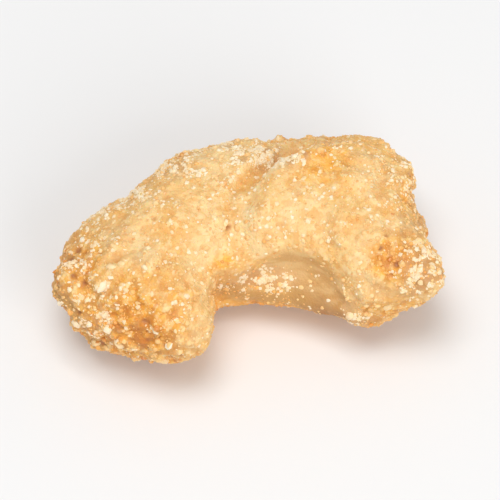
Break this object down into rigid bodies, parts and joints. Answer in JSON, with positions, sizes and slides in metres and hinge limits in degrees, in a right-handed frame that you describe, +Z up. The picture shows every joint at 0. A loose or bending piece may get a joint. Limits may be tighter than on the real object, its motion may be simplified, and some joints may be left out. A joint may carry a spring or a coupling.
{
  "type": "honey glazed nut",
  "caption": "Curved roasted cashew in a rough baked-on crust of honey and sugar, lying on its broad side on a small flat spot.",
  "frame": {"origin": "middle of the nut's bounding box, at its base, on the plane that it rests on", "axes": "+X along the nut from its hanging end to its blunt end, +Y from the hollow towards the back of the bend, +Z up"},
  "size_m": [0.0296, 0.019, 0.0119],
  "materials": {
    "honey_crust": "satin"
  },
  "bodies": {
    "root": {"honey_glazed_nut": "honey_crust"}
  },
  "joints": []
}
